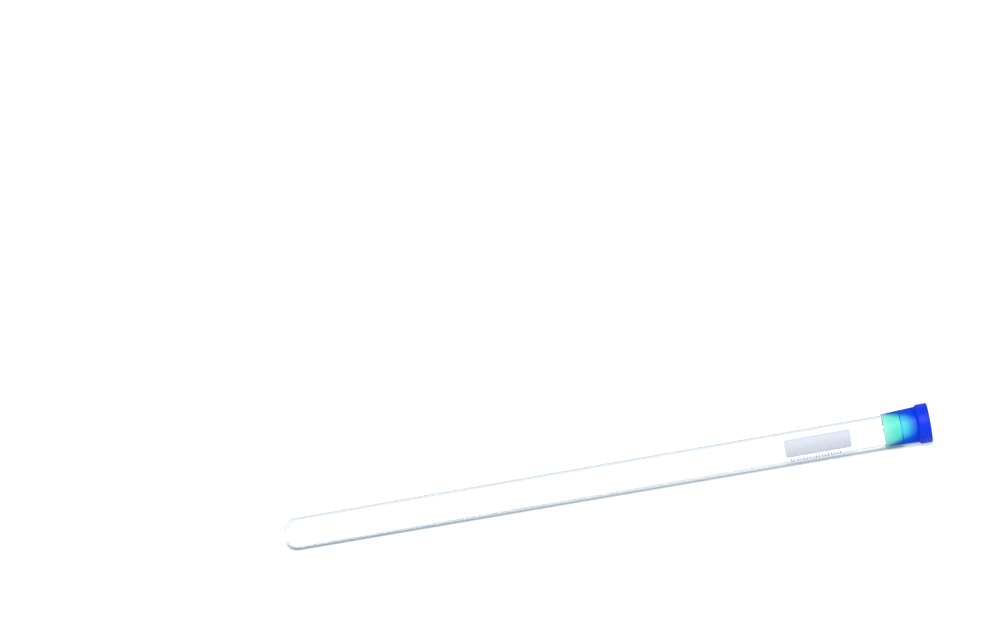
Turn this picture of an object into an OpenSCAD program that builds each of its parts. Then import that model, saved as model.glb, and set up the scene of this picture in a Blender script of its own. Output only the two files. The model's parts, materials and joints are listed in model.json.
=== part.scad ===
// A capped glass sample tube, lying as it comes to rest: on its round bottom and on the head of its cap.
// Millimetres. X runs along the tube towards the cap, Z is up, and the surface that it lies on is Z = 0.

/* [Glass tube] */
// Length from the tip of the round bottom to the rim
tube_l = 101.6; // [40:0.1:230]
// Outer diameter of the barrel
tube_od = 5; // [3:0.01:10]
// Thickness of the barrel's wall
tube_wall = 0.5; // [0.2:0.01:0.8]
// Thickness of the glass at the tip of the round bottom
tip_wall = 0.6; // [0.2:0.05:1.5]
// Radius of the bottom's flatter middle, as a multiple of the radius that it closes
crown_ratio = 1.12; // [1.02:0.01:2]
// Radius of the bottom's rounder edge, as a multiple of the radius that it closes
knuckle_ratio = 0.72; // [0.1:0.01:0.95]
// Radius that the flame leaves on both edges of the rim
rim_round = 0.2; // [0.02:0.01:0.4]

/* [Marking patch] */
// Length of the enamel patch along the tube
patch_l = 10.9; // [4:0.1:30]
// Width of the patch, measured round the barrel
patch_w = 3.15; // [1:0.05:4]
// Thickness of the fired enamel
patch_t = 0.04; // [0.01:0.01:0.1]
// Radius of the patch's corners
patch_corner = 0.45; // [0.05:0.05:0.5]
// Distance from the tube's rim to the near end of the patch
patch_from_rim = 8.3; // [5:0.1:25]
// Angle that the middle of the patch faces above the level
patch_turn = 20; // [-60:1:80]

/* [Cap] */
// Overall length of the cap
cap_l = 7.6; // [6.5:0.1:10]
// Length of the head, past its blend with the skirt
head_l = 1.7; // [0.6:0.1:3]
// How far the head stands out from the top of the skirt
head_step = 0.3; // [0.1:0.01:0.6]
// Length of the curve that blends the skirt into the head
head_blend = 0.6; // [0.3:0.05:1]
// Radius of the edge round the end of the head
head_round = 0.18; // [0.05:0.01:0.4]
// Wall of the skirt at its mouth
mouth_wall = 0.14; // [0.08:0.01:0.4]
// Wall of the skirt where it meets the head
root_wall = 0.4; // [0.2:0.01:0.8]
// Depth of the socket, from the mouth to the shoulder that stops the rim
socket_l = 2.85; // [1.5:0.05:4]
// Clearance round the barrel in the socket
socket_gap = 0.02; // [0.01:0.01:0.1]
// Clearance between the rim and the shoulder
seat_gap = 0.05; // [0.02:0.01:0.2]
// Thickness of the web that closes the cap
web = 1.1; // [0.4:0.05:1.6]
// Depth of the recess in the end of the head
recess_h = 0.6; // [0.1:0.05:1]
// Width of the flat ring that is left round the recess
recess_ring = 0.8; // [0.5:0.05:1.2]
// Lean of the tapered walls inside the cap, in degrees
cavity_draft = 12; // [2:0.5:20]
// Radius of the corners at the floors of the cavity and of the recess
floor_round = 0.35; // [0.05:0.05:0.4]

/* [Hidden] */
$fn = 96;
arc_steps = 8;
slack = 1; // how far a cutting shape runs past what it cuts
seam_turn = 22.5; // turns the seams of the round faces off the line that the part rests on
largest_round = 0.49; // largest radius of an edge, as a share of the wall or depth that it rounds

tube_r = tube_od / 2;
bore_r = tube_r - tube_wall;
rim_r = min(rim_round, largest_round * tube_wall);

socket_r = tube_r + socket_gap;
cap_at = tube_l + seat_gap - socket_l; // the cap's mouth, along the tube
lip_r = largest_round * mouth_wall;
root_r = socket_r + root_wall;
head_r = root_r + head_step;
root_at = cap_l - head_l - head_blend;
head_at = cap_l - head_l;
blend_turn = 2 * atan(head_step / head_blend);
blend_r = head_blend / (2 * sin(blend_turn));
cavity_end = cap_l - recess_h - web;
cavity_floor_r = bore_r - (cavity_end - socket_l) * tan(cavity_draft);
recess_r = head_r - recess_ring;
recess_floor_r = recess_r - recess_h * tan(cavity_draft);

patch_turn_each_way = patch_w / tube_r * 90 / PI;
patch_reach = tube_r * sin(patch_turn_each_way); // half the patch's width, seen square on
patch_at = tube_l - patch_from_rim - patch_l / 2;

// The surface touches the bottom's knuckle and the head's near edge, so it is the common tangent of two arcs.
knuckle_r = knuckle_ratio * tube_r;
knuckle_at = dome_depth(tube_r);
span = cap_at + head_at - knuckle_at;
drop = (head_r - blend_r) - (tube_r - knuckle_r);
lean = atan2(drop, span) + asin((blend_r - knuckle_r) / norm([drop, span]));
tip_z = (tube_r - knuckle_r) * cos(lean) + knuckle_r - knuckle_at * sin(lean);
middle = (cap_at + cap_l) / 2 * cos(lean);

// Points of an arc about c, from angle a to angle b; from = 1 leaves out the first, which is there already
function arc(c, r, a, b, from = 0) =
    [for (i = [from:arc_steps]) c + r * [cos(a + (b - a) * i / arc_steps), sin(a + (b - a) * i / arc_steps)]];

// Depth of the round bottom that closes a tube of radius r
function dome_depth(r) =
    let (crown = crown_ratio * r, knuckle = knuckle_ratio * r)
    crown - sqrt(pow(crown - knuckle, 2) - pow(r - knuckle, 2));

// Outline of that bottom as [radius, height], from its tip at height z to the straight wall
function dome(r, z) =
    let (
        crown = crown_ratio * r,
        knuckle = knuckle_ratio * r,
        depth = dome_depth(r),
        meet = atan2(depth - crown, r - knuckle)
    )
    concat(
        arc([0, z + crown], crown, -90, meet),
        arc([r - knuckle, z + depth], knuckle, meet, 0, from = 1)
    );

function reversed(points) = [for (i = [len(points) - 1:-1:0]) points[i]];

// Half section of a shallow cup from its floor's middle to its rim, with a draft and a rounded floor edge
function cup(floor_r, floor_z, rim_radius, rim_z) =
    let (
        up = rim_z > floor_z ? 1 : -1,
        side = atan2(abs(rim_z - floor_z), rim_radius - floor_r),
        r = min(floor_round, largest_round * min(2 * floor_r, abs(rim_z - floor_z))),
        edge = r * tan(side / 2)
    )
    concat(
        [[0, floor_z]],
        [for (p = arc([floor_r - edge, r], r, -90, side - 90)) [p[0], floor_z + up * p[1]]],
        [[rim_radius, rim_z]]
    );

// Turns a half section about the tube's axis, which lies along X
module turned(points) {
    rotate([seam_turn, 0, 0])
        rotate([0, 90, 0])
            rotate_extrude()
                polygon(points);
}

// Lays the tube down from its own axis to where it rests
module lying() {
    translate([-middle, 0, tip_z])
        rotate([0, -lean, 0])
            children();
}

// One piece of drawn glass: a barrel with a closed round bottom and a fire-polished rim
module glass_tube() {
    outside = concat(
        dome(tube_r, 0),
        arc([tube_r - rim_r, tube_l - rim_r], rim_r, 0, 90)
    );
    inside = concat(
        dome(bore_r, tip_wall),
        arc([bore_r + rim_r, tube_l - rim_r], rim_r, 180, 90)
    );
    color("lightcyan", 0.45)
        lying()
            turned(concat(outside, reversed(inside)));
}

// Rounded rectangle as a plain outline, centred on the origin
module patch_outline() {
    x = patch_l / 2 - patch_corner;
    y = patch_reach - patch_corner;
    polygon(concat(
        arc([x, y], patch_corner, 0, 90),
        arc([-x, y], patch_corner, 90, 180),
        arc([-x, -y], patch_corner, 180, 270),
        arc([x, -y], patch_corner, 270, 360)
    ));
}

// Thin white enamel, fired on to the barrel's wall
module marking_patch() {
    outer_r = tube_r + patch_t;
    color("lavender")
        lying()
            translate([patch_at, 0, 0])
                rotate([90 - patch_turn, 0, 0])
                    intersection() {
                        linear_extrude(height = outer_r + slack)
                            patch_outline();
                        rotate([0, 90, 0])
                            difference() {
                                cylinder(h = patch_l + slack, r = outer_r, center = true);
                                cylinder(h = patch_l + 2 * slack, r = tube_r, center = true);
                            }
                    }
}

// One soft moulding: a tapered skirt with a stepped socket, a closed web and a head with a shallow recess
module cap() {
    mouth = concat(
        [[socket_r + lip_r, 0]],
        arc([socket_r + mouth_wall - lip_r, lip_r], lip_r, -90, 0)
    );
    blend = concat(
        arc([root_r + blend_r, root_at], blend_r, 180, 180 - blend_turn),
        arc([head_r - blend_r, head_at], blend_r, -blend_turn, 0, from = 1)
    );
    head = arc([head_r - head_round, cap_l - head_round], head_round, 0, 90);
    recess = reversed(cup(recess_floor_r, cap_l - recess_h, recess_r, cap_l));
    cavity = cup(cavity_floor_r, cavity_end, bore_r, socket_l);
    socket = [[socket_r, socket_l], [socket_r, lip_r]];
    color("royalblue")
        lying()
            translate([cap_at, 0, 0])
                turned(concat(mouth, blend, head, recess, cavity, socket));
}

glass_tube();
marking_patch();
cap();
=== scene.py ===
"""A capped glass sample tube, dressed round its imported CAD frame.

The sizes are in metres. X runs along the tube towards its cap, Z is up, and the tube lies on Z = 0.
A half section is a list of (radius, along) points, as a turner draws it, with along on the tube's axis.
"""

import json
import math

import bmesh
import bpy
from bpy.props import FloatProperty, FloatVectorProperty, IntProperty, PointerProperty
from bpy.types import Operator, Panel, PropertyGroup
from mathutils import Matrix, Vector


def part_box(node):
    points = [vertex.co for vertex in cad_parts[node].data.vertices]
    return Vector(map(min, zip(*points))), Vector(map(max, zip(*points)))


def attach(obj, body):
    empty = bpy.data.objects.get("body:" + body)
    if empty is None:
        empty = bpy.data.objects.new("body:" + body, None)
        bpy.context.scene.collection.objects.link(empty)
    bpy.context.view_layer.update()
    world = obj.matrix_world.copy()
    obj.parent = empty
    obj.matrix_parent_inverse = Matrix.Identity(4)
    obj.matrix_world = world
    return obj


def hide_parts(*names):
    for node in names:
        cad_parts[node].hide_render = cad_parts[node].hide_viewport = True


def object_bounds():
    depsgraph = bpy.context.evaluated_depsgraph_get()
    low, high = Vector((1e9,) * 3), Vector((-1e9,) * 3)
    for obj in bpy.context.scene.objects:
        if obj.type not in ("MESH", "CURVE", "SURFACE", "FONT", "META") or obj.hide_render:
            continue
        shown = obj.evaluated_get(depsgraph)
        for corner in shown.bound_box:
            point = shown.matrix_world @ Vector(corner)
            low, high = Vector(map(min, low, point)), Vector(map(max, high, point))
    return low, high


bl_info = {
    "name": "Capped Sample Tube",
    "version": (1, 0, 0),
    "blender": (4, 5, 0),
    "location": "3D View > Sidebar > Sample Tube",
    "description": "Draws, marks, caps and lights a slim glass sample tube",
    "category": "Add Mesh",
}

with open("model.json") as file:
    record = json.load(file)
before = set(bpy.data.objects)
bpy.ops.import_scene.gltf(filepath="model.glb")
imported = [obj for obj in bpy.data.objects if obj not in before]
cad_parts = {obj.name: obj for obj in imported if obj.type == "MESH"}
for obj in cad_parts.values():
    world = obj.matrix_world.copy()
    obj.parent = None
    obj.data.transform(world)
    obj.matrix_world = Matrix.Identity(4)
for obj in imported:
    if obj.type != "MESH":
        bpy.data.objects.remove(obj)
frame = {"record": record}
CAD_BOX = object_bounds()

MM = 0.001
PER_MM = 1000
MOUNTS = {mount["name"]: mount for mount in frame["record"]["mounts"]}
AXIS = Vector(MOUNTS["mouth"]["axis"]).normalized()
LEAN = math.atan2(AXIS.z, AXIS.x)
MOUTH = Vector(MOUNTS["mouth"]["pos_m"])
TIP = MOUTH + AXIS * ((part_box("glass_tube")[0].x - MOUTH.x) / AXIS.x)

ARC_STEPS = 14
CAP_RING_GAP = 0.4 * MM
PATCH_COLUMNS, PATCH_ROWS = 56, 24
TICK_CORNER_STEPS, TICK_ROWS = 4, 4
LARGEST_ROUND = 0.49  # largest radius of an edge, as a share of the wall or depth that it rounds
WELD_DISTANCE = 0.001 * MM
SMOOTH_BELOW = math.radians(35)
BOX_TOLERANCE = 0.05 * MM

# Each pair says where an effect starts and where it is full.
GLASS_EDGE_SHADE = (0.5, 0.68)  # the glass's painted edge shade, from face on at 0 to edge on at 1
GLASS_SHADOW_EDGE = (0.3, 0.45)  # the same for the light that goes through it
RIM_SHADE_EDGE = (0.7 * MM, 0.2 * MM)  # the painted shade at the rim, as distances from the rim
RIM_SHADE = 0.8  # how strong that painted shade is
COAT_SHADE_STARTS = (0.01, 0.12)  # where the cap's painted shade coat starts, as shares of the cap's length from its mouth
COAT_SHADE_ENDS = (0.72, 0.8)  # where it fades out again, before the solid head
COAT_SHADE_DEPTH = (0.44, 0.9)  # the depth of that painted shade, as the sum of its place along the cap and its slant
SHOULDER_LINE = 0.1 * MM  # half the width of the painted line where the socket's shoulder shows through
INK_WORN = 0.55  # how far worn ink has gone towards white


# ---------------------------------------------------------------- sizes and colours


def length_property(name, description, default, low=0.0, high=0.3):
    """A size in millimetres as a property in metres"""
    return FloatProperty(
        name=name,
        description=description,
        default=default * MM,
        min=low,
        max=high,
        precision=5,
        unit="LENGTH",
        subtype="DISTANCE",
    )


def share_property(name, description, default, low=0.0, high=1.0):
    """A plain number on a slider"""
    return FloatProperty(
        name=name, description=description, default=default, min=low, max=high, subtype="FACTOR"
    )


def angle_property(name, description, default):
    """An angle in degrees as a property in radians"""
    return FloatProperty(
        name=name, description=description, default=math.radians(default), subtype="ANGLE"
    )


def linear(level):
    """An 8-bit display level as scene-linear light"""
    level /= 255
    return level / 12.92 if level <= 0.04045 else ((level + 0.055) / 1.055) ** 2.4


def tint_property(name, description, red, green, blue):
    """A colour given as the share of red, green and blue light that it leaves"""
    return FloatVectorProperty(
        name=name,
        description=description,
        default=(red, green, blue),
        min=0.0,
        max=1.0,
        subtype="COLOR",
    )


def colour_property(name, description, red, green, blue):
    """A colour given in 8-bit display levels"""
    return tint_property(name, description, linear(red), linear(green), linear(blue))


class GlassSizes(PropertyGroup):
    length: length_property("Length", "From the tip of the round bottom to the rim", 101.6)
    outer_radius: length_property("Outer Radius", "Radius of the barrel", MOUNTS["barrel"]["dims"]["r_mm"])
    bore_radius: length_property("Bore Radius", "Radius of the bore", MOUNTS["mouth"]["dims"]["r_mm"])
    tip_wall: length_property("Tip Wall", "Thickness of the glass at the tip", 0.6)
    crown_ratio: share_property("Crown", "Radius of the bottom's middle over the tube's", 1.12, 1.02, 2)
    knuckle_ratio: share_property("Knuckle", "Radius of the bottom's edge over the tube's", 0.72, 0.1, 0.95)
    rim_round: length_property("Rim Round", "Radius that the flame leaves on the rim's edges", 0.2)
    ring_gap: length_property("Ring Spacing", "Distance between the rings of faces along the barrel", 4)
    turns: IntProperty(name="Turns", description="Faces round the tube", default=160, min=24, max=512)


class PatchSizes(PropertyGroup):
    length: length_property("Length", "Length along the tube", 10.9)
    width: length_property("Width", "Width round the barrel", 3.15)
    thickness: length_property("Thickness", "Height of the fired enamel over the glass", 0.04)
    sunk: length_property("Sunk", "How far the enamel is fused into the glass", 0.006)
    corner: length_property("Corner", "Radius of the corners", 0.45)
    soft_edge: length_property("Soft Edge", "Width over which the enamel rises to its full height", 0.09)
    ragged: length_property("Ragged Edge", "How far the printed edge wanders", 0.012)
    from_rim: length_property("From the Rim", "Distance from the rim to the near end", 8.3)
    facing: angle_property("Facing", "Angle that the middle faces above the level", 20)


class TickSizes(PropertyGroup):
    count: IntProperty(name="Count", description="Number of ticks", default=17, min=2, max=200)
    first_at: length_property("First At", "Distance of the first tick from the tip", 83.25)
    pitch: length_property("Pitch", "Distance between ticks", 0.505)
    height: length_property("Height", "Height of a short tick round the barrel", 0.72)
    long_every: IntProperty(
        name="Long Every", description="Every so many ticks is a long one", default=4, min=1
    )
    long_ratio: share_property("Long Ratio", "Height of a long tick over a short one", 1.2, 1, 3)
    stroke: length_property("Stroke", "Width of a tick along the tube", 0.2)
    thickness: length_property("Thickness", "Height of the ink over the glass", 0.012)
    sunk: length_property("Sunk", "How far the ink is fused into the glass", 0.004)
    facing: angle_property("Facing", "Angle that the row faces above the level", -37)


class CapSizes(PropertyGroup):
    mouth_at: length_property("Mouth At", "Distance of the cap's mouth from the tube's tip", 98.8)
    length: length_property("Length", "Overall length", 7.6)
    head_radius: length_property("Head Radius", "Radius of the head", MOUNTS["cap_head"]["dims"]["r_mm"])
    head_length: length_property("Head Length", "Length of the head past its blend with the skirt", 1.7)
    head_step: length_property("Head Step", "How far the head stands out from the skirt", 0.3)
    head_blend: length_property("Head Blend", "Length of the curve from skirt to head", 0.6)
    head_round: length_property("Head Round", "Radius of the edge round the head's end", 0.18)
    mouth_wall: length_property("Mouth Wall", "Wall of the skirt at its mouth", 0.14)
    socket_radius: length_property("Socket Radius", "Radius of the socket that holds the glass", 2.52)
    socket_depth: length_property("Socket Depth", "Depth of the socket", 2.85)
    web: length_property("Web", "Thickness of the web that closes the cap", 1.1)
    recess_depth: length_property("Recess Depth", "Depth of the recess in the head's end", 0.6)
    recess_ring: length_property("Recess Ring", "Width of the ring round the recess", 0.8)
    draft: angle_property("Draft", "Lean of the tapered walls inside the cap", 12)
    floor_round: length_property("Floor Round", "Radius of the corners at the floors", 0.35)
    gate_radius: length_property("Gate Radius", "Radius of the mark that the moulding gate leaves", 0.4)
    gate_height: length_property("Gate Height", "Height of that mark", 0.08)
    turns: IntProperty(name="Turns", description="Faces round the cap", default=160, min=24, max=512)


class TubeFinishes(PropertyGroup):
    glass: colour_property("Glass", "Tint of the glass", 252, 255, 254)
    # Painted shade: the glass's colour where it is seen edge on and near its rim.
    glass_edge_shade: colour_property("Glass Edge", "Tint of the glass seen along its surface", 130, 137, 160)
    enamel: colour_property("Enamel", "White of the fired enamel", 219, 221, 232)
    enamel_shade: colour_property("Enamel Shade", "Greyer mottling of the enamel", 211, 213, 226)
    ink: colour_property("Ink", "Colour of the printed ticks", 190, 192, 218)
    # Painted light: the cap's colours from lip to web are paler where light shines through its thinner
    # walls, the lip paler still against its shade; the head's blue is the plastic's own.
    cap_lip_glow: colour_property("Cap Lip", "Cap on the very edge of its skirt", 205, 255, 242)
    cap_mouth: colour_property("Cap Mouth", "Cap where its thin skirt begins", 160, 250, 228)
    cap_skirt_glow: colour_property("Cap Skirt", "Cap where the skirt covers the rim", 104, 246, 220)
    cap_cavity_glow: colour_property("Cap Cavity", "Cap round the cavity past the rim", 86, 232, 246)
    cap_web_glow: colour_property("Cap Web", "Cap where the cavity ends", 60, 130, 244)
    cap_head: colour_property("Cap Head", "Cap's solid head", 6, 60, 240)
    # Painted shade: the tint of a coat that deepens the blue where less light comes through the plastic.
    cap_shade_coat: colour_property("Cap Skin", "Clear skin that deepens the hollow part", 97, 144, 253)
    cap_cloud: tint_property("Cap Cloud", "What the clouding leaves of the cap's colour", 0.86, 0.92, 0.97)
    cap_sheen: tint_property("Cap Sheen", "Soft shine of the cap at a slant", 0.02, 0.12, 0.9)
    glass_light: tint_property("Glass Light", "Light through the glass's face", 0.995, 0.995, 0.995)
    glass_edge_light: tint_property("Glass Edge Light", "Light along the glass's wall", 0.12, 0.15, 0.17)
    enamel_light: tint_property("Enamel Light", "Light through the enamel", 0.85, 0.87, 0.9)
    cap_light: tint_property("Cap Light", "Light through the cap's wall", 0.66, 0.74, 0.76)


class StageSettings(PropertyGroup):
    lens: FloatProperty(name="Lens", description="Focal length in mm", default=250, min=10, max=1000)
    distance: length_property("Distance", "From the camera to its aim", 1127.93, 0, 10)
    elevation: angle_property("Elevation", "Angle of the camera above the floor", 26.66)
    roll: angle_property("Roll", "Turn of the camera about its line of sight", 9.585)
    aim_right: length_property("Aim Right", "Aim right of the tube's middle", -17.348, -1, 1)
    aim_up: length_property("Aim Up", "Aim above the tube's middle", 26.358, -1, 1)
    floor_size: length_property("Floor Size", "Side of the square floor", 6000, 0, 50)
    floor_albedo: share_property("Floor Albedo", "How much light the floor gives back to the tube", 0.85)
    floor_shown: share_property("Floor Shown", "The floor's colour as the camera sees it", 1.45, 0, 3)
    # Painted light: the floor under the tube looks brighter where it is seen through the glass.
    floor_painted_glow: share_property("Floor Glow", "The same under the tube, seen through the glass", 3, 0, 6)
    glow_width: length_property("Glow Width", "How far from the line under the tube that glow reaches", 7)
    key_strength: FloatProperty(
        name="Key Strength", description="Strength of the key light", default=2.3, min=0
    )
    key_elevation: angle_property("Key Elevation", "Height of the key light", 54)
    key_azimuth: angle_property("Key Azimuth", "Turn of the key light from straight in front", -4)
    key_spread: angle_property("Key Spread", "Width of the key light, which softens the shadows", 24)
    key_colour: colour_property("Key Colour", "Colour of the key light", 255, 251, 246)
    fill_colour: colour_property("Fill Colour", "Colour of the soft light from all round", 132, 150, 160)
    dusk_colour: colour_property("Dusk Colour", "The room's walls, as the glass shows them", 205, 212, 222)
    dusk_top: angle_property("Dusk Top", "Height at which the room is white again", 20)


# ---------------------------------------------------------------- meshes


def new_object(name, mesh):
    """Puts a mesh, a lamp or a camera in the scene"""
    made = bpy.data.objects.new(name, mesh)
    bpy.context.scene.collection.objects.link(made)
    return made


def arc(centre, radius, start, end, steps=ARC_STEPS):
    """Points of an arc in a half section, between two angles in degrees from the outward direction"""
    turns = [math.radians(start + (end - start) * i / steps) for i in range(steps + 1)]
    return [(centre[0] + radius * math.cos(t), centre[1] + radius * math.sin(t)) for t in turns]


def dome_depth(radius, sizes):
    """How far a round bottom reaches past the straight wall of a tube of that radius"""
    crown, knuckle = sizes.crown_ratio * radius, sizes.knuckle_ratio * radius
    return crown - math.sqrt((crown - knuckle) ** 2 - (radius - knuckle) ** 2)


def dome(radius, tip, sizes):
    """Half section of the flamed bottom of a tube of that radius, from its tip to the straight wall"""
    crown, knuckle = sizes.crown_ratio * radius, sizes.knuckle_ratio * radius
    depth = dome_depth(radius, sizes)
    meet = math.degrees(math.atan2(depth - crown, radius - knuckle))
    middle = arc((0, tip + crown), crown, -90, meet)
    edge = arc((radius - knuckle, tip + depth), knuckle, meet, 0)
    return middle + edge[1:]


def straight(radius, start, end, gap):
    """The points between two ends of a straight wall, about gap apart and without the ends"""
    count = max(1, round(abs(end - start) / gap))
    return [(radius, start + (end - start) * i / count) for i in range(1, count)]


def glass_section(sizes):
    """From the tip outside, over the rim, to the tip of the bore"""
    outer, bore, rim = sizes.outer_radius, sizes.bore_radius, sizes.rim_round
    rim_at = sizes.length - rim
    outside = dome(outer, 0, sizes)
    outside += straight(outer, outside[-1][1], rim_at, sizes.ring_gap)
    outside += arc((outer - rim, rim_at), rim, 0, 90)
    inside = dome(bore, sizes.tip_wall, sizes)
    inside += straight(bore, inside[-1][1], rim_at, sizes.ring_gap)
    inside += arc((bore + rim, rim_at), rim, 180, 90)
    return outside + inside[::-1]


def cup(floor_radius, floor_at, rim_radius, rim_at, corner):
    """Half section of a drafted recess, from the middle of its floor to its rim"""
    way = 1 if rim_at > floor_at else -1
    side = math.atan2(abs(rim_at - floor_at), rim_radius - floor_radius)
    edge = corner * math.tan(side / 2)
    bend = arc((floor_radius - edge, corner), corner, -90, math.degrees(side) - 90)
    return [(0, floor_at)] + [(r, floor_at + way * z) for r, z in bend] + [(rim_radius, rim_at)]


def cap_section(sizes, bore_radius):
    """From the middle of the cavity's floor, round the socket and the head, to the middle of the recess"""
    lip = LARGEST_ROUND * sizes.mouth_wall
    root = sizes.head_radius - sizes.head_step
    root_at = sizes.length - sizes.head_length - sizes.head_blend
    head_at = sizes.length - sizes.head_length
    turn = 2 * math.atan(sizes.head_step / sizes.head_blend)
    bend = sizes.head_blend / (2 * math.sin(turn))
    turn = math.degrees(turn)
    cavity_end = sizes.length - sizes.recess_depth - sizes.web
    cavity_floor = bore_radius - (cavity_end - sizes.socket_depth) * math.tan(sizes.draft)
    recess = sizes.head_radius - sizes.recess_ring
    recess_floor = recess - sizes.recess_depth * math.tan(sizes.draft)
    recess_at = sizes.length - sizes.recess_depth
    corner = min(sizes.floor_round, LARGEST_ROUND * sizes.recess_depth)
    socket = sizes.socket_radius
    mouth = socket + sizes.mouth_wall
    edge_at = sizes.length - sizes.head_round

    section = cup(cavity_floor, cavity_end, bore_radius, sizes.socket_depth, sizes.floor_round)
    section += [(socket, sizes.socket_depth)]
    section += straight(socket, sizes.socket_depth, lip, CAP_RING_GAP)
    section += arc((socket + lip, lip), lip, 180, 270)
    section += arc((mouth - lip, lip), lip, -90, 0)
    steps = round((root_at - lip) / CAP_RING_GAP)
    section += [
        (mouth + (root - mouth) * i / steps, lip + (root_at - lip) * i / steps)
        for i in range(1, steps)
    ]
    section += arc((root + bend, root_at), bend, 180, 180 - turn)
    section += arc((sizes.head_radius - bend, head_at), bend, -turn, 0)[1:]
    section += straight(sizes.head_radius, head_at, edge_at, CAP_RING_GAP)
    section += arc((sizes.head_radius - sizes.head_round, edge_at), sizes.head_round, 0, 90)
    section += cup(recess_floor, recess_at, recess, sizes.length, corner)[:0:-1]
    gate, gate_top = sizes.gate_radius, recess_at + sizes.gate_height
    section += [(gate, recess_at), (0.7 * gate, gate_top), (0, gate_top)]
    return section


def outline_mesh(name, section, along=0.0):
    """A half section as a row of vertices, which is what the lathe turns"""
    mesh = bpy.data.meshes.new(name)
    points = [(z + along, r, 0) for r, z in section]
    mesh.from_pydata(points, [(i, i + 1) for i in range(len(points) - 1)], [])
    return mesh


def enamel_sheet(sizes):
    """The patch laid flat: X along the tube, Y round the barrel, Z up from the glass"""
    half_length, half_width, corner = sizes.length / 2, sizes.width / 2, sizes.corner
    columns = spread(half_length, sizes.soft_edge, PATCH_COLUMNS)
    rows = spread(half_width, sizes.soft_edge, PATCH_ROWS)

    def reach(y):
        """Half the patch's length at that place across it"""
        over = max(0.0, abs(y) - (half_width - corner))
        return half_length - corner + math.sqrt(max(0.0, corner**2 - over**2))

    def height(x, y):
        """Rises over the soft edge as a quarter of an ellipse"""
        over_x, over_y = abs(x) - (half_length - corner), abs(y) - (half_width - corner)
        if over_x > 0 and over_y > 0:
            inside = corner - math.hypot(over_x, over_y)
        else:
            inside = min(half_length - abs(x), half_width - abs(y))
        share = min(1.0, max(0.0, inside) / sizes.soft_edge)
        return sizes.thickness * math.sqrt(1 - (1 - share) ** 2)

    wide = len(columns)
    top = []
    for y in rows:
        for x in columns:
            x *= reach(y) / half_length
            top.append((x, y, height(x, y)))
    under = [(x, y, -sizes.sunk) for x, y, _ in top]
    faces = []
    for row in range(len(rows) - 1):
        for column in range(wide - 1):
            a = row * wide + column
            faces.append((a, a + 1, a + wide + 1, a + wide))
            b = a + len(top)
            faces.append((b, b + wide, b + wide + 1, b + 1))
    last = (len(rows) - 1) * wide
    border = list(range(wide)) + [row * wide + wide - 1 for row in range(1, len(rows))]
    border += [last + column for column in range(wide - 2, -1, -1)]
    border += [row * wide for row in range(len(rows) - 2, 0, -1)]
    for here, there in zip(border, border[1:] + border[:1]):
        faces.append((there, here, here + len(top), there + len(top)))
    mesh = bpy.data.meshes.new("enamel_patch")
    mesh.from_pydata(top + under, [], faces)
    return mesh


def spread(half, edge, count):
    """Places from -half to half, with a few close together inside each end"""
    close = [half - edge * share for share in (0, 0.08, 0.25, 0.5, 1)]
    inner = close[-1]
    places = [inner - 2 * inner * i / count for i in range(1, count)]
    return sorted([-place for place in close] + places + close)


def tick_stroke(sizes):
    """One tick laid flat, with its top edges rounded off, centred where it meets the glass"""
    half_x, half_y = sizes.stroke / 2, sizes.height / 2
    top = sizes.thickness
    points, faces = [], []
    for width, z in ((1.0, -sizes.sunk), (1.0, 0.45 * top), (0.82, 0.85 * top), (0.5, top)):
        pull = (1 - width) * half_x
        x, y = half_x - pull, half_y - pull
        corner = 0.5 * x
        loop = []
        for quarter, (side_x, side_y) in enumerate(((1, 1), (-1, 1), (-1, -1), (1, -1))):
            if side_x == side_y:
                rows = [side_y * (y - corner) * (2 * i / TICK_ROWS - 1) for i in range(1, TICK_ROWS)]
                loop += [(side_x * x, row) for row in rows]
            centre = (side_x * (x - corner), side_y * (y - corner))
            loop += arc(centre, corner, quarter * 90, quarter * 90 + 90, TICK_CORNER_STEPS)
        points += [(px, py, z) for px, py in loop]
    ring = len(loop)
    last = len(points) - ring
    for level in range(0, last, ring):
        for i in range(ring):
            a, b = level + i, level + (i + 1) % ring
            faces.append((a, b, b + ring, a + ring))
    faces.append(tuple(range(ring))[::-1])
    faces.append(tuple(range(last, last + ring)))
    mesh = bpy.data.meshes.new("tick_stroke")
    mesh.from_pydata(points, [], faces)
    return mesh


# ---------------------------------------------------------------- node trees


def add(tree, kind, inputs=None, **settings):
    """Adds a node to a tree. Each input is a plain value or the output of another node."""
    node = tree.nodes.new(kind)
    for name, value in settings.items():
        setattr(node, name, value)
    for key, value in (inputs or {}).items():
        if isinstance(value, bpy.types.NodeSocket):
            tree.links.new(value, node.inputs[key])
        elif isinstance(value, bpy.types.Node):
            tree.links.new(value.outputs[0], node.inputs[key])
        else:
            node.inputs[key].default_value = value
    return node


def maths(tree, operation, first, second=0.0):
    """A sum on one or two values"""
    return add(tree, "ShaderNodeMath", {0: first, 1: second}, operation=operation).outputs[0]


def vectors(tree, operation, first, second):
    """A sum on two vectors"""
    return add(tree, "ShaderNodeVectorMath", {0: first, 1: second}, operation=operation).outputs[0]


def noise(tree, place, scale, detail, distortion=0.0):
    """A soft random pattern between 0 and 1"""
    inputs = {"Vector": place, "Scale": scale, "Detail": detail, "Distortion": distortion}
    return add(tree, "ShaderNodeTexNoise", inputs).outputs["Fac"]


def new_tree(name, kind, inputs, outputs):
    """A node group with named sockets, its input node and its output node"""
    tree = bpy.data.node_groups.new(name, kind)
    for label, socket, default in inputs:
        made = tree.interface.new_socket(label, in_out="INPUT", socket_type=socket)
        if default is not None:
            made.default_value = default
    for label, socket in outputs:
        tree.interface.new_socket(label, in_out="OUTPUT", socket_type=socket)
    return tree, tree.nodes.new("NodeGroupInput"), tree.nodes.new("NodeGroupOutput")


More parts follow.
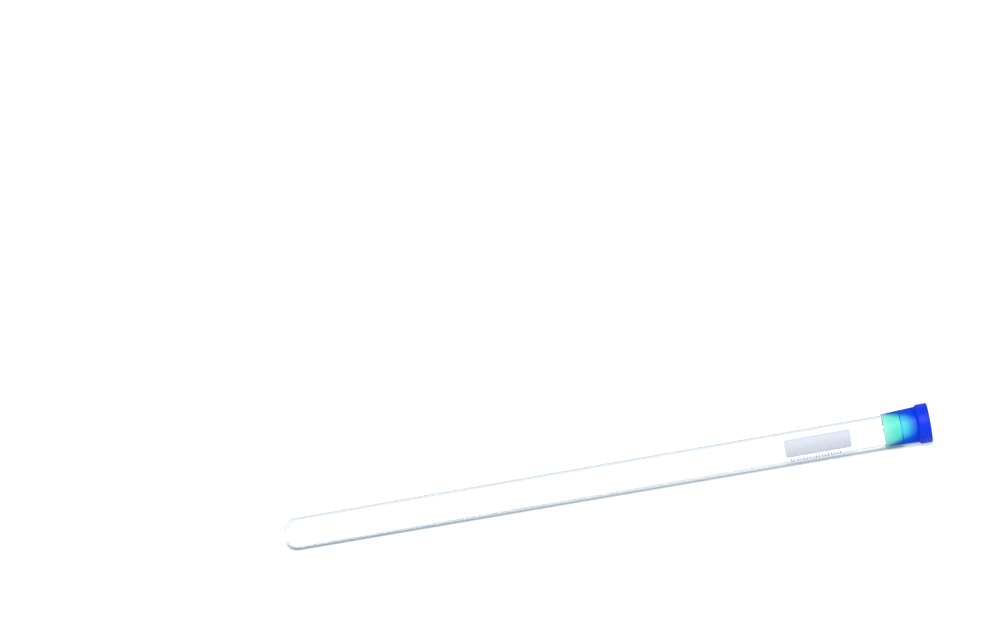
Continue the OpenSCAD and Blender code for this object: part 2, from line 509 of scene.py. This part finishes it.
def lay_down(tree, given, result, geometry):
    """Ends a geometry tree: smooth, laid from the tube's own axis to where it rests, and in its finish"""
    smooth = add(tree, "GeometryNodeSetShadeSmooth", {0: geometry})
    laid = add(
        tree,
        "GeometryNodeTransform",
        {"Geometry": smooth, "Translation": TIP, "Rotation": (0, -LEAN, 0)},
    )
    real = add(tree, "GeometryNodeRealizeInstances", {0: laid})
    dressed = add(tree, "GeometryNodeSetMaterial", {0: real, "Material": given.outputs["Material"]})
    tree.links.new(dressed.outputs[0], result.inputs[0])
    return tree


def geometry_tree(name, inputs):
    """A geometry node group that puts out one geometry"""
    return new_tree(name, "GeometryNodeTree", inputs, [("Geometry", "NodeSocketGeometry")])


MATERIAL_INPUT = ("Material", "NodeSocketMaterial", None)
WRAP_INPUTS = [
    ("Barrel Radius", "NodeSocketFloat", 1.0),
    ("Along", "NodeSocketFloat", 0.0),
    ("Facing", "NodeSocketFloat", 0.0),
]


def lathe_tree():
    """Turns a row of vertices, each at (along, radius), about the tube's axis"""
    tree, given, result = geometry_tree(
        "Turned About the Axis",
        [("Section", "NodeSocketGeometry", None), ("Turns", "NodeSocketInt", 96), MATERIAL_INPUT],
    )
    size = add(tree, "GeometryNodeAttributeDomainSize", {0: given.outputs["Section"]})
    rows = size.outputs["Point Count"]
    columns = maths(tree, "ADD", given.outputs["Turns"], 1)
    grid = add(tree, "GeometryNodeMeshGrid", {"Vertices X": columns, "Vertices Y": rows})
    index = add(tree, "GeometryNodeInputIndex").outputs[0]
    row = maths(tree, "MODULO", index, rows)
    column = maths(tree, "FLOOR", maths(tree, "DIVIDE", index, rows))
    angle = maths(tree, "MULTIPLY", maths(tree, "DIVIDE", column, given.outputs["Turns"]), math.tau)
    place = add(tree, "GeometryNodeInputPosition")
    point = add(
        tree,
        "GeometryNodeSampleIndex",
        {"Geometry": given.outputs["Section"], "Value": place, "Index": row},
        data_type="FLOAT_VECTOR",
    )
    parts = add(tree, "ShaderNodeSeparateXYZ", {0: point})
    placed = add(
        tree,
        "ShaderNodeCombineXYZ",
        {
            "X": parts.outputs["X"],
            "Y": maths(tree, "MULTIPLY", parts.outputs["Y"], maths(tree, "COSINE", angle)),
            "Z": maths(tree, "MULTIPLY", parts.outputs["Y"], maths(tree, "SINE", angle)),
        },
    )
    turned = add(tree, "GeometryNodeSetPosition", {"Geometry": grid.outputs["Mesh"], "Position": placed})
    closed = add(tree, "GeometryNodeMergeByDistance", {"Geometry": turned, "Distance": WELD_DISTANCE})
    return lay_down(tree, given, result, closed)


def wrap_tree():
    """Wraps flat geometry round the barrel: X stays along, Y becomes the way round and Z the way out"""
    tree, given, result = geometry_tree(
        "Wrapped Round the Barrel",
        [("Flat", "NodeSocketGeometry", None), *WRAP_INPUTS],
    )
    radius = given.outputs["Barrel Radius"]
    flat = add(tree, "ShaderNodeSeparateXYZ", {0: add(tree, "GeometryNodeInputPosition")})
    angle = maths(tree, "ADD", maths(tree, "DIVIDE", flat.outputs["Y"], radius), given.outputs["Facing"])
    out = maths(tree, "ADD", radius, flat.outputs["Z"])
    placed = add(
        tree,
        "ShaderNodeCombineXYZ",
        {
            "X": maths(tree, "ADD", flat.outputs["X"], given.outputs["Along"]),
            "Y": maths(tree, "MULTIPLY", maths(tree, "MULTIPLY", out, maths(tree, "COSINE", angle)), -1),
            "Z": maths(tree, "MULTIPLY", out, maths(tree, "SINE", angle)),
        },
    )
    wrapped = add(tree, "GeometryNodeSetPosition", {"Geometry": given.outputs["Flat"], "Position": placed})
    tree.links.new(wrapped.outputs[0], result.inputs[0])
    return tree


def shared_tree(name, build):
    """The node group of that name, built the first time that it is asked for"""
    return bpy.data.node_groups.get(name) or build()


def wrapped(tree, geometry, given):
    """Places the wrap group with the values that came into this tree"""
    inputs = {label: given.outputs[label] for label, *_ in WRAP_INPUTS}
    return add(
        tree,
        "GeometryNodeGroup",
        {"Flat": geometry, **inputs},
        node_tree=shared_tree("Wrapped Round the Barrel", wrap_tree),
    )


def enamel_tree():
    """Roughens the outline of the flat enamel a little and wraps it round the barrel"""
    tree, given, result = geometry_tree(
        "Fired On",
        [
            ("Flat", "NodeSocketGeometry", None),
            ("Ragged", "NodeSocketFloat", 0.0),
            *WRAP_INPUTS,
            MATERIAL_INPUT,
        ],
    )
    wander = add(tree, "ShaderNodeTexNoise", {"Scale": 2.2 * PER_MM, "Detail": 2.0})
    centred = vectors(tree, "SUBTRACT", wander.outputs["Color"], (0.5, 0.5, 0.5))
    sideways = vectors(tree, "MULTIPLY", centred, (2, 2, 0))
    scaled = {0: sideways, "Scale": given.outputs["Ragged"]}
    offset = add(tree, "ShaderNodeVectorMath", scaled, operation="SCALE")
    moved = {"Geometry": given.outputs["Flat"], "Offset": offset}
    ragged = add(tree, "GeometryNodeSetPosition", moved)
    return lay_down(tree, given, result, wrapped(tree, ragged, given))


def tick_tree():
    """A row of ticks, with a longer one at every few, wrapped round the barrel"""
    tree, given, result = geometry_tree(
        "Printed Ticks",
        [
            ("Stroke", "NodeSocketGeometry", None),
            ("Count", "NodeSocketInt", 10),
            ("Pitch", "NodeSocketFloat", 1.0),
            ("Long Every", "NodeSocketInt", 5),
            ("Long Ratio", "NodeSocketFloat", 1.0),
            *WRAP_INPUTS,
            MATERIAL_INPUT,
        ],
    )
    step = add(tree, "ShaderNodeCombineXYZ", {"X": given.outputs["Pitch"]})
    counted = {"Count": given.outputs["Count"], "Offset": step}
    line = add(tree, "GeometryNodeMeshLine", counted, mode="OFFSET")
    index = add(tree, "GeometryNodeInputIndex").outputs[0]
    within = maths(tree, "MODULO", index, given.outputs["Long Every"])
    is_long = maths(tree, "LESS_THAN", within, 0.5)
    extra = maths(tree, "SUBTRACT", given.outputs["Long Ratio"], 1)
    height = maths(tree, "ADD", maths(tree, "MULTIPLY", is_long, extra), 1)
    scale = add(tree, "ShaderNodeCombineXYZ", {"X": 1.0, "Y": height, "Z": 1.0})
    ticks = add(
        tree,
        "GeometryNodeInstanceOnPoints",
        {"Points": line, "Instance": given.outputs["Stroke"], "Scale": scale},
    )
    real = add(tree, "GeometryNodeRealizeInstances", {0: ticks})
    return lay_down(tree, given, result, wrapped(tree, real, given))


def shape(name, mesh, tree, **inputs):
    """Runs a geometry tree on a mesh and keeps its result as the plain mesh of a new object"""
    made = new_object(name, mesh)
    modifier = made.modifiers.new("Shape", "NODES")
    modifier.node_group = tree
    sockets = {item.name.replace(" ", "_").lower(): item.identifier for item in tree.interface.items_tree}
    for label, value in inputs.items():
        modifier[sockets[label]] = value
    graph = bpy.context.evaluated_depsgraph_get()
    result = bpy.data.meshes.new_from_object(made.evaluated_get(graph), depsgraph=graph)
    made.modifiers.remove(modifier)
    made.data = result
    result.name = name
    bpy.data.meshes.remove(mesh)
    close_up(made)
    return made


def close_up(made):
    """Turns the faces outwards, keeps crisp edges crisp, and stops at an open or empty mesh"""
    work = bmesh.new()
    work.from_mesh(made.data)
    if not work.faces or any(not edge.is_manifold for edge in work.edges):
        raise RuntimeError(f"{made.name} isn't a closed mesh")
    if work.calc_volume(signed=True) < 0:
        bmesh.ops.reverse_faces(work, faces=work.faces)
    work.to_mesh(made.data)
    work.free()
    made.data.set_sharp_from_angle(angle=SMOOTH_BELOW)


def check_against(made, node):
    """Stops the script if a piece isn't where the CAD node is that it stands for"""
    low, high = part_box(node)
    for axis in range(3):
        values = [vertex.co[axis] for vertex in made.data.vertices]
        if abs(min(values) - low[axis]) > BOX_TOLERANCE or abs(max(values) - high[axis]) > BOX_TOLERANCE:
            raise RuntimeError(f"{made.name} doesn't fill the box of {node}")


# ---------------------------------------------------------------- finishes


def along_tube_group():
    """Places on the tube in millimetres, for patterns that follow the glass, and how far out they are"""
    tree, given, result = new_tree(
        "Along the Tube",
        "ShaderNodeTree",
        [
            ("From", "NodeSocketFloat", 0.0),
            ("To", "NodeSocketFloat", 1.0),
            ("Core From", "NodeSocketFloat", 0.0),
        ],
        [
            ("Share", "NodeSocketFloat"),
            ("Out", "NodeSocketFloat"),
            ("Stretched", "NodeSocketVector"),
            ("Even", "NodeSocketVector"),
        ],
    )
    place = add(tree, "ShaderNodeTexCoord").outputs["Object"]
    even = add(
        tree,
        "ShaderNodeMapping",
        {"Vector": place, "Location": TIP, "Rotation": (0, -LEAN, 0), "Scale": (MM, MM, MM)},
        vector_type="TEXTURE",
    )
    apart = add(tree, "ShaderNodeSeparateXYZ", {0: even})
    along = apart.outputs["X"]
    share = ranged(tree, along, 0.0, 1.0, given.outputs["From"], given.outputs["To"])
    short_of = maths(tree, "MINIMUM", maths(tree, "SUBTRACT", along, given.outputs["Core From"]), 0.0)
    from_core = add(
        tree,
        "ShaderNodeCombineXYZ",
        {"X": short_of, "Y": apart.outputs["Y"], "Z": apart.outputs["Z"]},
    )
    out = add(tree, "ShaderNodeVectorMath", {0: from_core}, operation="LENGTH")
    stretched = vectors(tree, "MULTIPLY", even.outputs[0], (0.04, 1, 1))
    tree.links.new(share, result.inputs["Share"])
    tree.links.new(out.outputs["Value"], result.inputs["Out"])
    tree.links.new(stretched, result.inputs["Stretched"])
    tree.links.new(even.outputs[0], result.inputs["Even"])
    return tree


def wear_group():
    """Fine use marks: a soft film in patches, with hair scratches in it"""
    tree, given, result = new_tree(
        "Handling Marks",
        "ShaderNodeTree",
        [
            ("Place", "NodeSocketVector", None),
            ("Mark Size", "NodeSocketFloat", 3.0),
            ("Scratches", "NodeSocketFloat", 0.3),
        ],
        [("Mask", "NodeSocketFloat"), ("Grain", "NodeSocketFloat")],
    )
    place = given.outputs["Place"]
    scale = maths(tree, "DIVIDE", 1.0, given.outputs["Mark Size"])
    patchy = add(
        tree,
        "ShaderNodeMapRange",
        {"Value": noise(tree, place, scale, 4.0), "From Min": 0.42, "From Max": 0.72},
        interpolation_type="SMOOTHSTEP",
    )
    hairs = noise(tree, vectors(tree, "MULTIPLY", place, (0.6, 5, 5)), 2.0, 2.0, 0.4)
    fine = ranged(tree, hairs, 0.0, 1.0, 0.62, 0.68)
    scratched = maths(tree, "MULTIPLY", fine, given.outputs["Scratches"])
    both = add(tree, "ShaderNodeMath", {0: patchy, 1: scratched}, operation="ADD", use_clamp=True)
    tree.links.new(both.outputs[0], result.inputs["Mask"])
    tree.links.new(noise(tree, place, 9.0, 3.0), result.inputs["Grain"])
    return tree


def new_finish(name, mark_size):
    """An empty material with the two shared groups in it, and the size of its marks in millimetres"""
    material = bpy.data.materials.new(name)
    material.use_nodes = True
    tree = material.node_tree
    tree.nodes.clear()
    along = add(tree, "ShaderNodeGroup", node_tree=shared_tree("Along the Tube", along_tube_group))
    wear = add(
        tree,
        "ShaderNodeGroup",
        {"Place": along.outputs["Even"], "Mark Size": mark_size},
        node_tree=shared_tree("Handling Marks", wear_group),
    )
    return material, tree, along, wear


def ranged(tree, value, low, high, start=0.0, end=1.0):
    """Takes a value from the range between start and end to the range between low and high"""
    return add(
        tree,
        "ShaderNodeMapRange",
        {"Value": value, "From Min": start, "From Max": end, "To Min": low, "To Max": high},
    ).outputs[0]


def mixed(tree, factor, first, second, blend="MIX"):
    """A mix of two colours"""
    node = add(tree, "ShaderNodeMix", {"Factor": factor}, data_type="RGBA", blend_type=blend)
    for key, value in ((6, first), (7, second)):
        if isinstance(value, bpy.types.NodeSocket):
            tree.links.new(value, node.inputs[key])
        else:
            node.inputs[key].default_value = (*value, 1)
    return node.outputs[2]


def bumped(tree, height, strength, depth):
    """The normal of a surface that a pattern raises by up to that depth"""
    inputs = {"Height": height, "Strength": strength, "Distance": depth}
    return add(tree, "ShaderNodeBump", inputs).outputs[0]


def let_through(tree, shader, tint):
    """Shows a shader, but lets the light of lamps and matt surfaces straight through, for soft shadows"""
    if not isinstance(tint, bpy.types.NodeSocket):
        tint = (*tint, 1)
    clear = add(tree, "ShaderNodeBsdfTransparent", {"Color": tint})
    path = add(tree, "ShaderNodeLightPath")
    for ray in ("Is Shadow Ray", "Is Diffuse Ray"):
        shader = add(tree, "ShaderNodeMixShader", {0: path.outputs[ray], 1: shader, 2: clear})
    add(tree, "ShaderNodeOutputMaterial", {"Surface": shader})


def drawn_glass(colours, sizes):
    """Clear drawn glass: faint lines along it, a thin film of handling, and painted shade on its edge and
    rim
    """
    material, tree, along, wear = new_finish("clear_glass", 4.0)
    lines = noise(tree, along.outputs["Stretched"], 3.0, 2.0)
    # The outside is nearest to the core line at the tip, and the bore furthest from it along the barrel.
    round_end = dome_depth(sizes.outer_radius, sizes)
    along.inputs["Core From"].default_value = round_end * PER_MM
    between = (sizes.bore_radius + round_end) / 2 * PER_MM
    outer = maths(tree, "GREATER_THAN", along.outputs["Out"], between)
    facing = add(tree, "ShaderNodeLayerWeight", {"Blend": 0.5}).outputs["Facing"]
    # Painted shade: the glass darkens where it is seen edge on and near its rim.
    grazed = maths(tree, "MULTIPLY", outer, ranged(tree, facing, 0.0, 1.0, *GLASS_EDGE_SHADE))
    along.inputs["To"].default_value = sizes.length * PER_MM
    near_rim = [1 - reach / sizes.length for reach in RIM_SHADE_EDGE]
    rim = ranged(tree, along.outputs["Share"], 0.0, RIM_SHADE, *near_rim)
    edge_and_rim_shade = maths(tree, "MAXIMUM", grazed, rim)
    glass = add(
        tree,
        "ShaderNodeBsdfPrincipled",
        {
            "Base Color": mixed(tree, edge_and_rim_shade, tuple(colours.glass), tuple(colours.glass_edge_shade)),
            "Roughness": ranged(tree, wear.outputs["Mask"], 0.0, 0.05),
            "IOR": 1.47,
            "Transmission Weight": 1.0,
            "Normal": bumped(tree, lines, 0.15, 0.01 * MM),
        },
    )
    edge = maths(tree, "MULTIPLY", outer, ranged(tree, facing, 0.0, 1.0, *GLASS_SHADOW_EDGE))
    light = mixed(tree, edge, tuple(colours.glass_light), tuple(colours.glass_edge_light))
    let_through(tree, glass, light)
    return material


def fired_enamel(colours):
    """Matt white enamel, a little uneven, as it comes from the kiln"""
    material, tree, _, wear = new_finish("white_enamel", 0.9)
    mottled = ranged(tree, wear.outputs["Mask"], 0.0, 0.55)
    enamel = add(
        tree,
        "ShaderNodeBsdfPrincipled",
        {
            "Base Color": mixed(tree, mottled, tuple(colours.enamel), tuple(colours.enamel_shade)),
            "Roughness": ranged(tree, wear.outputs["Grain"], 0.42, 0.6),
            "Normal": bumped(tree, wear.outputs["Grain"], 0.3, 0.01 * MM),
            "Specular IOR Level": 0.35,
        },
    )
    let_through(tree, enamel, colours.enamel_light)
    return material


def fired_ink(colours):
    """Thin grey-lavender ink whose strokes came out unevenly"""
    material, tree, _, wear = new_finish("tick_ink", 0.35)
    worn = tuple(INK_WORN + (1 - INK_WORN) * channel for channel in colours.ink)
    ink = add(
        tree,
        "ShaderNodeBsdfPrincipled",
        {
            "Base Color": mixed(tree, wear.outputs["Mask"], tuple(colours.ink), worn),
            "Roughness": ranged(tree, wear.outputs["Grain"], 0.4, 0.6),
            "Normal": bumped(tree, wear.outputs["Grain"], 0.2, 0.005 * MM),
        },
    )
    add(tree, "ShaderNodeOutputMaterial", {"Surface": ink})
    return material


def cap_colour_and_glow(tree, share, colours, cap):
    """The cap's colour by the place along it, from its thin pale lip to its solid head. The paler colours
    up to the web are painted light that shines through the thinner walls, the lip is painted paler still
    against its shade, and the head keeps the plastic's own deep blue.
    """
    web_at = cap.length - cap.head_length - cap.head_blend
    # Painted light: the paler stops stand for light shining through the thinner walls.
    stops = [
        (0.02 * MM, colours.cap_lip_glow),
        (0.3 * MM, colours.cap_mouth),
        (0.7 * cap.socket_depth, colours.cap_skirt_glow),
        (cap.socket_depth - SHOULDER_LINE, colours.cap_skirt_glow),
        (cap.socket_depth + SHOULDER_LINE, colours.cap_cavity_glow),
        (cap.socket_depth + 0.9 * MM, colours.cap_cavity_glow),
        (web_at, colours.cap_web_glow),
        (cap.length - cap.head_length, colours.cap_head),
    ]
    ramp = add(tree, "ShaderNodeValToRGB", {"Fac": share})
    for place, colour in stops:
        ramp.color_ramp.elements.new(place / cap.length).color = (*colour, 1)
    ramp.color_ramp.elements.remove(ramp.color_ramp.elements[0])
    ramp.color_ramp.elements.remove(ramp.color_ramp.elements[-1])
    return ramp.outputs["Color"]


def cap_shade_coat(tree, share, cap):
    """How much of the tinted coat shows, as painted shade where less light comes through the plastic: more
    at a slant, towards the head and on the shoulder's line
    """
    from_line = maths(tree, "ABSOLUTE", maths(tree, "SUBTRACT", share, cap.socket_depth / cap.length))
    line_edge = [reach * SHOULDER_LINE / cap.length for reach in (0.5, 1.3)]
    line = ranged(tree, from_line, 0.3, 0.0, *line_edge)
    facing = add(tree, "ShaderNodeLayerWeight", {"Blend": 0.5}).outputs["Facing"]
    slant = maths(tree, "MULTIPLY", facing, ranged(tree, share, 0.8, 2.0))
    deep = maths(tree, "ADD", maths(tree, "ADD", slant, share), line)
    before_head = ranged(tree, share, 1.0, 0.0, *COAT_SHADE_ENDS)
    hollow = maths(tree, "MULTIPLY", before_head, ranged(tree, share, 0.0, 1.0, *COAT_SHADE_STARTS))
    return maths(tree, "MULTIPLY", hollow, ranged(tree, deep, 0.0, 1.0, *COAT_SHADE_DEPTH))


def soft_polyethylene(colours, cap):
    """Clouded blue plastic, with painted light where its wall is thin and a tinted coat that paints deeper
    shade at a slant
    """
    material, tree, along, wear = new_finish("blue_polyethylene", 1.2)
    along.inputs["From"].default_value = cap.mouth_at * PER_MM
    along.inputs["To"].default_value = (cap.mouth_at + cap.length) * PER_MM
    share = along.outputs["Share"]
    clear = cap_colour_and_glow(tree, share, colours, cap)
    cloudy = mixed(tree, 1.0, clear, tuple(colours.cap_cloud), "MULTIPLY")
    plastic = add(
        tree,
        "ShaderNodeBsdfPrincipled",
        {
            "Base Color": mixed(tree, ranged(tree, wear.outputs["Mask"], 0.0, 0.5), clear, cloudy),
            "Roughness": ranged(tree, wear.outputs["Mask"], 0.45, 0.55),
            "IOR": 1.51,
            "Transmission Weight": 0.2,
            "Specular IOR Level": 0.1,
            "Sheen Weight": 1.0,
            "Sheen Roughness": 0.4,
            "Sheen Tint": (*colours.cap_sheen, 1),
            # Painted shade: the tinted coat deepens the blue at a slant and towards the head.
            "Coat Weight": cap_shade_coat(tree, share, cap),
            "Coat Roughness": 0.4,
            "Coat IOR": 1.1,
            "Coat Tint": (*colours.cap_shade_coat, 1),
            "Normal": bumped(tree, wear.outputs["Grain"], 0.15, 0.01 * MM),
        },
    )
    let_through(tree, plastic, colours.cap_light)
    return material


# ---------------------------------------------------------------- operators


class CAPPED_TUBE_OT_draw_glass(Operator):
    """Draw the glass: barrel, round bottom and fire-polished rim, in one piece"""

    bl_idname = "capped_tube.draw_glass"
    bl_label = "Draw the Glass"

    def execute(self, context):
        scene = context.scene
        sizes = scene.glass_sizes
        made = shape(
            "drawn_glass",
            outline_mesh("glass_section", glass_section(sizes)),
            shared_tree("Turned About the Axis", lathe_tree),
            turns=sizes.turns,
            material=drawn_glass(scene.tube_finishes, sizes),
        )
        check_against(made, "glass_tube")
        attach(made, "tube")
        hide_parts("glass_tube")
        return {"FINISHED"}


class CAPPED_TUBE_OT_fire_patch(Operator):
    """Fire the white marking patch on to the barrel"""

    bl_idname = "capped_tube.fire_patch"
    bl_label = "Fire the Marking Patch"

    def execute(self, context):
        scene = context.scene
        sizes, glass = scene.patch_sizes, scene.glass_sizes
        made = shape(
            "enamel_patch",
            enamel_sheet(sizes),
            enamel_tree(),
            ragged=sizes.ragged,
            barrel_radius=glass.outer_radius,
            along=glass.length - sizes.from_rim - sizes.length / 2,
            facing=sizes.facing,
            material=fired_enamel(scene.tube_finishes),
        )
        check_against(made, "marking_patch")
        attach(made, "tube")
        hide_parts("marking_patch")
        return {"FINISHED"}


class CAPPED_TUBE_OT_print_ticks(Operator):
    """Print the row of ticks beside the patch"""

    bl_idname = "capped_tube.print_ticks"
    bl_label = "Print the Tick Row"

    def execute(self, context):
        scene = context.scene
        sizes = scene.tick_sizes
        made = shape(
            "tick_row",
            tick_stroke(sizes),
            tick_tree(),
            count=sizes.count,
            pitch=sizes.pitch,
            long_every=sizes.long_every,
            long_ratio=sizes.long_ratio,
            barrel_radius=scene.glass_sizes.outer_radius,
            along=sizes.first_at,
            facing=sizes.facing,
            material=fired_ink(scene.tube_finishes),
        )
        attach(made, "tube")
        return {"FINISHED"}


class CAPPED_TUBE_OT_mould_cap(Operator):
    """Mould the soft cap: skirt, socket, web and stepped head, in one piece"""

    bl_idname = "capped_tube.mould_cap"
    bl_label = "Mould the Cap"

    def execute(self, context):
        scene = context.scene
        sizes = scene.cap_sizes
        section = cap_section(sizes, scene.glass_sizes.bore_radius)
        made = shape(
            "moulded_cap",
            outline_mesh("cap_section", section, sizes.mouth_at),
            shared_tree("Turned About the Axis", lathe_tree),
            turns=sizes.turns,
            material=soft_polyethylene(scene.tube_finishes, sizes),
        )
        check_against(made, "cap")
        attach(made, "cap")
        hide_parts("cap")
        return {"FINISHED"}


class CAPPED_TUBE_OT_set_stage(Operator):
    """Set the pale floor, the soft light and the camera"""

    bl_idname = "capped_tube.set_stage"
    bl_label = "Set the Stage"

    def execute(self, context):
        scene = context.scene
        settings = scene.stage_settings
        lay_floor(settings)
        hang_key_light(settings)
        fill_world(scene, settings)
        place_camera(scene, settings)
        scene.view_settings.view_transform = "Standard"
        return {"FINISHED"}


def seen(tree):
    """1 where the camera looks, in a gloss and through glass too, and 0 for the light on something matt"""
    path = add(tree, "ShaderNodeLightPath")
    gloss = maths(tree, "MAXIMUM", path.outputs["Is Glossy Ray"], path.outputs["Is Transmission Ray"])
    looks = maths(tree, "MAXIMUM", path.outputs["Is Camera Ray"], gloss)
    return maths(tree, "MULTIPLY", looks, maths(tree, "LESS_THAN", path.outputs["Diffuse Depth"], 0.5))


def lay_floor(settings):
    """A wide matt floor, which looks white, with painted light under the tube where it is seen through the
    glass
    """
    half = settings.floor_size / 2
    mesh = bpy.data.meshes.new("floor")
    corners = [(-half, -half, 0), (half, -half, 0), (half, half, 0), (-half, half, 0)]
    mesh.from_pydata(corners, [], [(0, 1, 2, 3)])
    floor = new_object("floor", mesh)
    material = bpy.data.materials.new("pale_floor")
    material.use_nodes = True
    tree = material.node_tree
    tree.nodes.clear()
    place = add(tree, "ShaderNodeTexCoord").outputs["Object"]
    across = maths(tree, "ABSOLUTE", add(tree, "ShaderNodeSeparateXYZ", {0: place}).outputs["Y"])
    # Painted light: a brighter strip under the tube, seen only through the glass, stands in for the light
    # that the glass gathers and hides the shadow seen through it.
    under_tube = ranged(tree, across, 1.0, 0.0, settings.glow_width / 2, settings.glow_width)
    bent = add(tree, "ShaderNodeLightPath").outputs["Is Transmission Ray"]
    glow = maths(tree, "MULTIPLY", bent, under_tube)
    shown = mixed(tree, glow, (settings.floor_shown,) * 3, (settings.floor_painted_glow,) * 3)
    colour = mixed(tree, seen(tree), (settings.floor_albedo,) * 3, shown)
    matt = add(tree, "ShaderNodeBsdfDiffuse", {"Color": colour})
    add(tree, "ShaderNodeOutputMaterial", {"Surface": matt})
    mesh.materials.append(material)


def hang_key_light(settings):
    """One wide, soft lamp far away"""
    lamp = bpy.data.lights.new("key", "SUN")
    lamp.energy = settings.key_strength
    lamp.angle = settings.key_spread
    lamp.color = settings.key_colour
    key = new_object("key", lamp)
    around, up = settings.key_azimuth, settings.key_elevation
    from_lamp = Vector((-math.sin(around) * math.cos(up), math.cos(around) * math.cos(up), -math.sin(up)))
    key.rotation_euler = from_lamp.to_track_quat("-Z", "Y").to_euler()


def fill_world(scene, settings):
    """Soft light from all round, in a room that looks white"""
    world = bpy.data.worlds.new("soft_room")
    world.use_nodes = True
    tree = world.node_tree
    tree.nodes.clear()
    way = add(tree, "ShaderNodeTexCoord").outputs["Generated"]
    height = add(tree, "ShaderNodeSeparateXYZ", {0: way}).outputs["Z"]
    clear = ranged(tree, height, 0.0, 1.0, end=math.sin(settings.dusk_top))
    walls = mixed(tree, clear, tuple(settings.dusk_colour), (1, 1, 1))
    path = add(tree, "ShaderNodeLightPath")
    background = mixed(tree, path.outputs["Is Camera Ray"], walls, (1, 1, 1))
    colour = mixed(tree, seen(tree), tuple(settings.fill_colour), background)
    light = add(tree, "ShaderNodeBackground", {"Color": colour})
    add(tree, "ShaderNodeOutputWorld", {"Surface": light})
    scene.world = world


def place_camera(scene, settings):
    """Looks down at the tube side-on, turned about its line of sight so that the tube rises to the right"""
    low, high = CAD_BOX
    middle = TIP + AXIS * ((high.x - low.x) / 2 / AXIS.x)
    up, roll = settings.elevation, settings.roll
    back = Vector((0, -math.cos(up), math.sin(up)))
    level = Vector((1, 0, 0))
    rise = back.cross(level)
    right = math.cos(roll) * level - math.sin(roll) * rise
    top = math.sin(roll) * level + math.cos(roll) * rise
    data = bpy.data.cameras.new("camera")
    data.lens = settings.lens
    data.clip_start, data.clip_end = 0.05, 20
    camera = new_object("camera", data)
    aim = middle + right * settings.aim_right + top * settings.aim_up
    turned = Matrix((right, top, back)).transposed().to_4x4()
    camera.matrix_world = Matrix.Translation(aim + back * settings.distance) @ turned
    scene.camera = camera


PIECES = (
    CAPPED_TUBE_OT_draw_glass,
    CAPPED_TUBE_OT_fire_patch,
    CAPPED_TUBE_OT_print_ticks,
    CAPPED_TUBE_OT_mould_cap,
    CAPPED_TUBE_OT_set_stage,
)

SETTINGS = {
    "glass_sizes": GlassSizes,
    "patch_sizes": PatchSizes,
    "tick_sizes": TickSizes,
    "cap_sizes": CapSizes,
    "tube_finishes": TubeFinishes,
    "stage_settings": StageSettings,
}


class CAPPED_TUBE_PT_workshop(Panel):
    """Lists the steps that make the tube, and the sizes and colours that they use"""

    bl_idname = "CAPPED_TUBE_PT_workshop"
    bl_label = "Capped Sample Tube"
    bl_space_type = "VIEW_3D"
    bl_region_type = "UI"
    bl_category = "Sample Tube"

    def draw(self, context):
        layout = self.layout
        for piece in PIECES:
            layout.operator(piece.bl_idname)
        for name, group in SETTINGS.items():
            box = layout.box()
            box.label(text=name.replace("_", " ").title())
            for field in group.__annotations__:
                box.prop(getattr(context.scene, name), field)


def register():
    for group in SETTINGS.values():
        bpy.utils.register_class(group)
    for kind in (*PIECES, CAPPED_TUBE_PT_workshop):
        bpy.utils.register_class(kind)
    for name, group in SETTINGS.items():
        setattr(bpy.types.Scene, name, PointerProperty(type=group))


def unregister():
    for name in SETTINGS:
        delattr(bpy.types.Scene, name)
    for kind in (CAPPED_TUBE_PT_workshop, *PIECES[::-1]):
        bpy.utils.unregister_class(kind)
    for group in SETTINGS.values():
        bpy.utils.unregister_class(group)


def main():
    """Makes the tube and its stage"""
    register()
    bpy.ops.capped_tube.draw_glass()
    bpy.ops.capped_tube.fire_patch()
    bpy.ops.capped_tube.print_ticks()
    bpy.ops.capped_tube.mould_cap()
    bpy.ops.capped_tube.set_stage()


if __name__ == "__main__":
    main()
